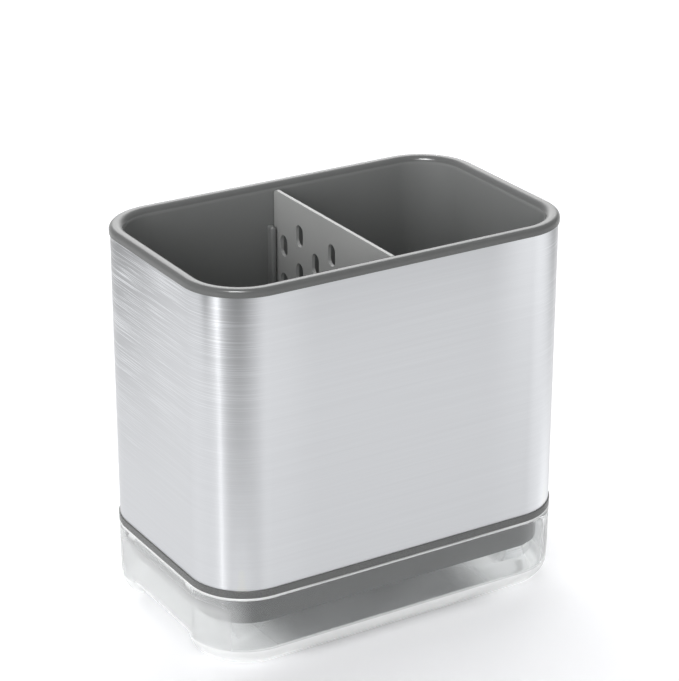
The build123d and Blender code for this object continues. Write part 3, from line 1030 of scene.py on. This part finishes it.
class CADDY_OT_add_stage(bpy.types.Operator):
    """Adds the pale floor, the soft studio light and the camera"""
    bl_idname = "caddy.add_stage"
    bl_label = "Add Stage"

    def floor(self, stage):
        """Flat pale floor, paler to the camera and through the clear tray than to the caddy that it lights.

        Part of its white is its own light, more to the right, so that it meets the white background and keeps
        a soft shadow."""
        reach = stage.floor_reach
        mesh = bpy.data.meshes.new("floor")
        corners = [(-reach, -reach, 0), (reach, -reach, 0), (reach, reach, 0), (-reach, reach, 0)]
        mesh.from_pydata(corners, [], [(0, 1, 2, 3)])
        piece = bpy.data.objects.new("floor", mesh)
        bpy.context.scene.collection.objects.link(piece)
        material, board = new_material("floor_white")
        bounce = 0.8
        seen, through = board.ray("Camera"), board.ray("Transmission")
        tone = board.mix(seen.above(through), rgba([bounce] * 3), rgba(stage.floor_colour))
        matte = board.node("ShaderNodeBsdfDiffuse", inputs={"Color": tone})
        right = board.axes(board.place())[0]
        light_seen, light_right, light_through = 0.17, 0.15, 0.02
        lift = light_right * board.ramp(right, 0.8 * sleeve_high.x, 1.5 * sleeve_high.x)
        strength = seen * (light_seen + lift) + through * light_through
        glow = board.node("ShaderNodeEmission", inputs={"Color": (1, 1, 1, 1), "Strength": strength})
        board.finish(board.node("ShaderNodeAddShader", inputs={0: matte, 1: glow}))
        mesh.materials.append(material)
        piece.visible_glossy = False

    def sky(self):
        """Studio light all round, from directions as azimuths from the right side, anticlockwise, in degrees.

        Cameras see white, also through the tray. Gloss sees panels round the caddy, and above them a dim
        ceiling with a soft light behind and a small one at the front left, which gives the rim its glint.
        Matte surfaces are lit low from the front left, a little from the front, and from above behind."""
        world = bpy.data.worlds.new("studio")
        world.use_nodes = True
        bpy.context.scene.world = world
        board = Board(world.node_tree)
        x, y, z = board.axes(board.node("ShaderNodeTexCoord", output="Generated"))

        def softbox(azimuth, rise, sharpness):
            """cos(angle from a direction) to a power, for a round soft light there."""
            azimuth, rise = math.radians(azimuth), math.radians(rise)
            ahead = x * (math.cos(rise) * math.cos(azimuth)) + y * (math.cos(rise) * math.sin(azimuth))
            return (ahead + z * math.sin(rise)).above(0.0) ** sharpness

        # The panels, as (azimuth, level)
        panels = [(0, 0.97), (120, 0.97), (145, 1.05), (176, 1.0), (186, 1.0), (194, 1.05), (197, 1.05),
                  (197.4, 3.2), (198.4, 3.2), (199, 1.05), (205, 0.95), (211, 0.73), (216, 0.65), (232, 0.62),
                  (246, 0.67), (257, 0.75), (268, 0.82), (276, 0.93), (288, 0.98), (300, 0.94), (306, 0.88),
                  (318, 1.01), (330, 1.06), (342, 1.06)]
        brightest = max(level for _, level in panels)
        stops = [(azimuth / 360, rgba([level / brightest] * 3)) for azimuth, level in panels]
        turn = (y.bearing(x) / (2 * math.pi)).wrapped()
        ring = board.node("ShaderNodeValToRGB", {"stops": stops}, {0: turn}) * brightest
        high = board.ramp(z, 0.0, 0.3)
        ceiling = 0.42 + 2.5 * softbox(60, 20, 20) + 30 * softbox(226, 66, 80)
        gloss_light = (1 - high) * 0.95 * ring + high * ceiling
        soft_light = 0.2 + 3.8 * softbox(207, 14, 8) + 0.8 * softbox(275, 0, 8) + 2.8 * softbox(75, 55, 6)
        glossy = board.ray("Glossy")
        white = (board.ray("Camera") + board.ray("Transmission")).below(1.0)
        level = white + (1 - white) * (glossy * gloss_light + (1 - glossy) * soft_light)
        backdrop = board.node("ShaderNodeBackground", inputs={"Color": (1, 1, 1, 1), "Strength": level})
        board.node("ShaderNodeOutputWorld", inputs={"Surface": backdrop})

    def camera(self, stage):
        """Looks down at the caddy from (sin turn, -cos turn) in plan, with the rise and the roll."""
        turn, rise, roll = stage.camera_turn, stage.camera_rise, stage.camera_roll
        back = Vector((math.sin(turn) * math.cos(rise), -math.cos(turn) * math.cos(rise), math.sin(rise)))
        right = Vector((math.cos(turn), math.sin(turn), 0))
        up = back.cross(right)
        level_right = right * math.cos(roll) + up * math.sin(roll)
        level_up = up * math.cos(roll) - right * math.sin(roll)
        target = Vector((0, 0, stage.target_height)) + level_right * stage.target_side
        lens = bpy.data.cameras.new("camera")
        lens.sensor_width = 36.0
        lens.lens = stage.lens
        lens.shift_x = (photo_width / 2 - photo_centre_x) / photo_height
        lens.shift_y = (photo_centre_y - photo_height / 2) / photo_height
        lens.clip_end = 20.0
        camera = bpy.data.objects.new("camera", lens)
        bpy.context.scene.collection.objects.link(camera)
        turned = Matrix((level_right, level_up, back)).transposed().to_4x4()
        camera.matrix_world = Matrix.Translation(target + back * stage.camera_distance) @ turned
        bpy.context.scene.camera = camera

    def execute(self, context):
        stage = context.scene.caddy_stage
        context.scene.view_settings.view_transform = "Standard"
        self.floor(stage)
        self.sky()
        self.camera(stage)
        return {"FINISHED"}


class CADDY_PT_build(bpy.types.Panel):
    """Lists the caddy's pieces"""
    bl_label = "Sink Caddy"
    bl_idname = "CADDY_PT_build"
    bl_space_type = "VIEW_3D"
    bl_region_type = "UI"
    bl_category = "Caddy"

    def draw(self, context):
        for operator in operators:
            self.layout.operator(operator.bl_idname)


setting_groups = {
    "caddy_outline": CaddyOutlineSettings,
    "caddy_sleeve": SteelSleeveSettings,
    "caddy_liner": LinerSettings,
    "caddy_ring": BaseRingSettings,
    "caddy_divider": DividerSettings,
    "caddy_tray": DripTraySettings,
    "caddy_stage": StageSettings,
}

operators = [
    CADDY_OT_add_steel_sleeve,
    CADDY_OT_add_liner,
    CADDY_OT_add_base_ring,
    CADDY_OT_add_divider,
    CADDY_OT_add_drip_tray,
    CADDY_OT_finish_pads,
    CADDY_OT_add_stage,
]


def register():
    for name, group in setting_groups.items():
        bpy.utils.register_class(group)
        setattr(bpy.types.Scene, name, PointerProperty(type=group))
    for operator in operators:
        bpy.utils.register_class(operator)
    bpy.utils.register_class(CADDY_PT_build)


def unregister():
    bpy.utils.unregister_class(CADDY_PT_build)
    for operator in reversed(operators):
        bpy.utils.unregister_class(operator)
    for name, group in reversed(setting_groups.items()):
        delattr(bpy.types.Scene, name)
        bpy.utils.unregister_class(group)


def main():
    register()
    bpy.ops.caddy.add_steel_sleeve()
    bpy.ops.caddy.add_liner()
    bpy.ops.caddy.add_base_ring()
    bpy.ops.caddy.add_divider()
    bpy.ops.caddy.add_drip_tray()
    bpy.ops.caddy.finish_pads()
    bpy.ops.caddy.add_stage()


if __name__ == "__main__":
    main()
